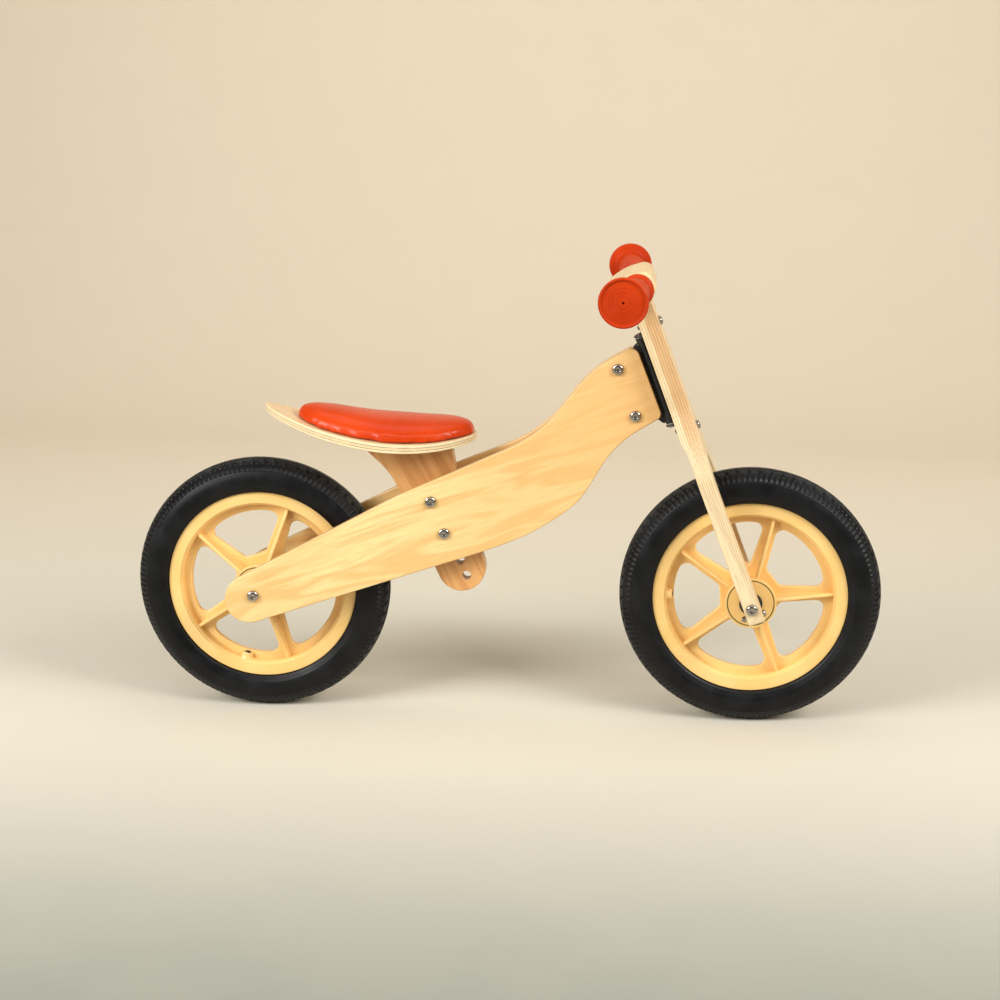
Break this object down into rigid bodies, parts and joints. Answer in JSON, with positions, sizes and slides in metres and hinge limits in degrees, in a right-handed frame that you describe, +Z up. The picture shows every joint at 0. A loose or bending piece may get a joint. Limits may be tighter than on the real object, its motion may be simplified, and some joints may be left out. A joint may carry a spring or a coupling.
{
  "type": "balance bike",
  "caption": "Wooden balance bike: splayed plywood frame, hinged laminated fork with a wooden bar and rubber grips, padded seat, moulded spoked wheels with air tyres.",
  "frame": {"origin": "on the ground, in the middle plane, halfway between the two axles", "axes": "+X forward (towards the front wheel), +Y to the rider's left, +Z up"},
  "size_m": [0.86, 0.4036, 0.5292],
  "materials": {
    "panel_birch": "satin lacquer over pale birch face veneer",
    "fork_ply": "lacquered plywood, with the layers showing along the blades",
    "seat_ply": "lacquered moulded plywood, layers showing at its edge",
    "post_ply": "tan lacquered plywood",
    "handlebar_wood": "satin lacquer",
    "turned_wood": "plain sanded",
    "seat_vinyl": "smooth orange-red vinyl, semi-gloss",
    "grip_rubber": "orange-red rubber, satin",
    "tyre_rubber": "black",
    "tube_rubber": "matte black",
    "wheel_plastic": "cream yellow, satin",
    "black_plastic": "black",
    "nylon": "natural nylon",
    "black_steel": "satin black powder coat",
    "zinc_steel": "bright zinc plate",
    "chromed_steel": "bright chrome"
  },
  "bodies": {
    "main_frame": {"frame_side_right": "panel_birch", "frame_side_left": "panel_birch", "head_bracket": "black_steel", "steering_bush_upper": "nylon", "steering_bush_lower": "nylon", "head_upper_bolt": "chromed_steel", "head_upper_nut": "chromed_steel", "head_lower_bolt": "chromed_steel", "head_lower_nut": "chromed_steel", "seat_post": "post_ply", "seat_spacer_upper_right": "turned_wood", "seat_spacer_upper_left": "turned_wood", "seat_spacer_lower_right": "turned_wood", "seat_spacer_lower_left": "turned_wood", "seat_upper_bolt": "chromed_steel", "seat_upper_nut": "chromed_steel", "seat_lower_bolt": "chromed_steel", "seat_lower_nut": "chromed_steel", "seat_board": "seat_ply", "seat_cushion": "seat_vinyl", "seat_screw_front": "zinc_steel", "seat_screw_rear": "zinc_steel", "rear_axle_bolt": "chromed_steel", "rear_axle_nut": "chromed_steel", "rear_spacer_right": "black_plastic", "rear_spacer_left": "black_plastic"},
    "rear_wheel_assembly": {"rear_tyre": "tyre_rubber", "rear_inner_tube": "tube_rubber", "rear_valve_cap": "black_plastic", "rear_wheel": "wheel_plastic", "rear_bearing_right": "zinc_steel", "rear_bearing_left": "zinc_steel", "rear_bearing_sleeve": "zinc_steel"},
    "fork_assembly": {"fork": "fork_ply", "steering_bracket": "zinc_steel", "steering_pin": "chromed_steel", "fork_upper_bolt": "chromed_steel", "fork_upper_nut": "chromed_steel", "fork_lower_bolt": "chromed_steel", "fork_lower_nut": "chromed_steel", "blade_right_bolt": "chromed_steel", "blade_right_nut": "chromed_steel", "blade_left_bolt": "chromed_steel", "blade_left_nut": "chromed_steel", "handlebar": "handlebar_wood", "handlebar_dowel_right": "turned_wood", "handlebar_dowel_left": "turned_wood", "grip_right": "grip_rubber", "grip_left": "grip_rubber", "front_axle_bolt": "chromed_steel", "front_axle_nut": "chromed_steel", "front_spacer_right": "black_plastic", "front_spacer_left": "black_plastic"},
    "front_wheel_assembly": {"front_tyre": "tyre_rubber", "front_inner_tube": "tube_rubber", "front_valve_cap": "black_plastic", "front_wheel": "wheel_plastic", "front_bearing_right": "zinc_steel", "front_bearing_left": "zinc_steel", "front_bearing_sleeve": "zinc_steel"}
  },
  "joints": [
    {"name": "steering", "type": "hinge", "parent": "main_frame", "child": "fork_assembly", "pos_m": [0.26633, 0, 0.14268], "axis": [-0.3584, 0, 0.9336], "range_deg": [-42, 42]},
    {"name": "rear_wheel_spin", "type": "hinge", "parent": "main_frame", "child": "rear_wheel_assembly", "pos_m": [-0.2815, 0, 0.1485], "axis": [0, 1, 0], "continuous": true},
    {"name": "front_wheel_spin", "type": "hinge", "parent": "fork_assembly", "child": "front_wheel_assembly", "pos_m": [0.2815, 0, 0.1485], "axis": [0, 1, 0], "continuous": true}
  ]
}
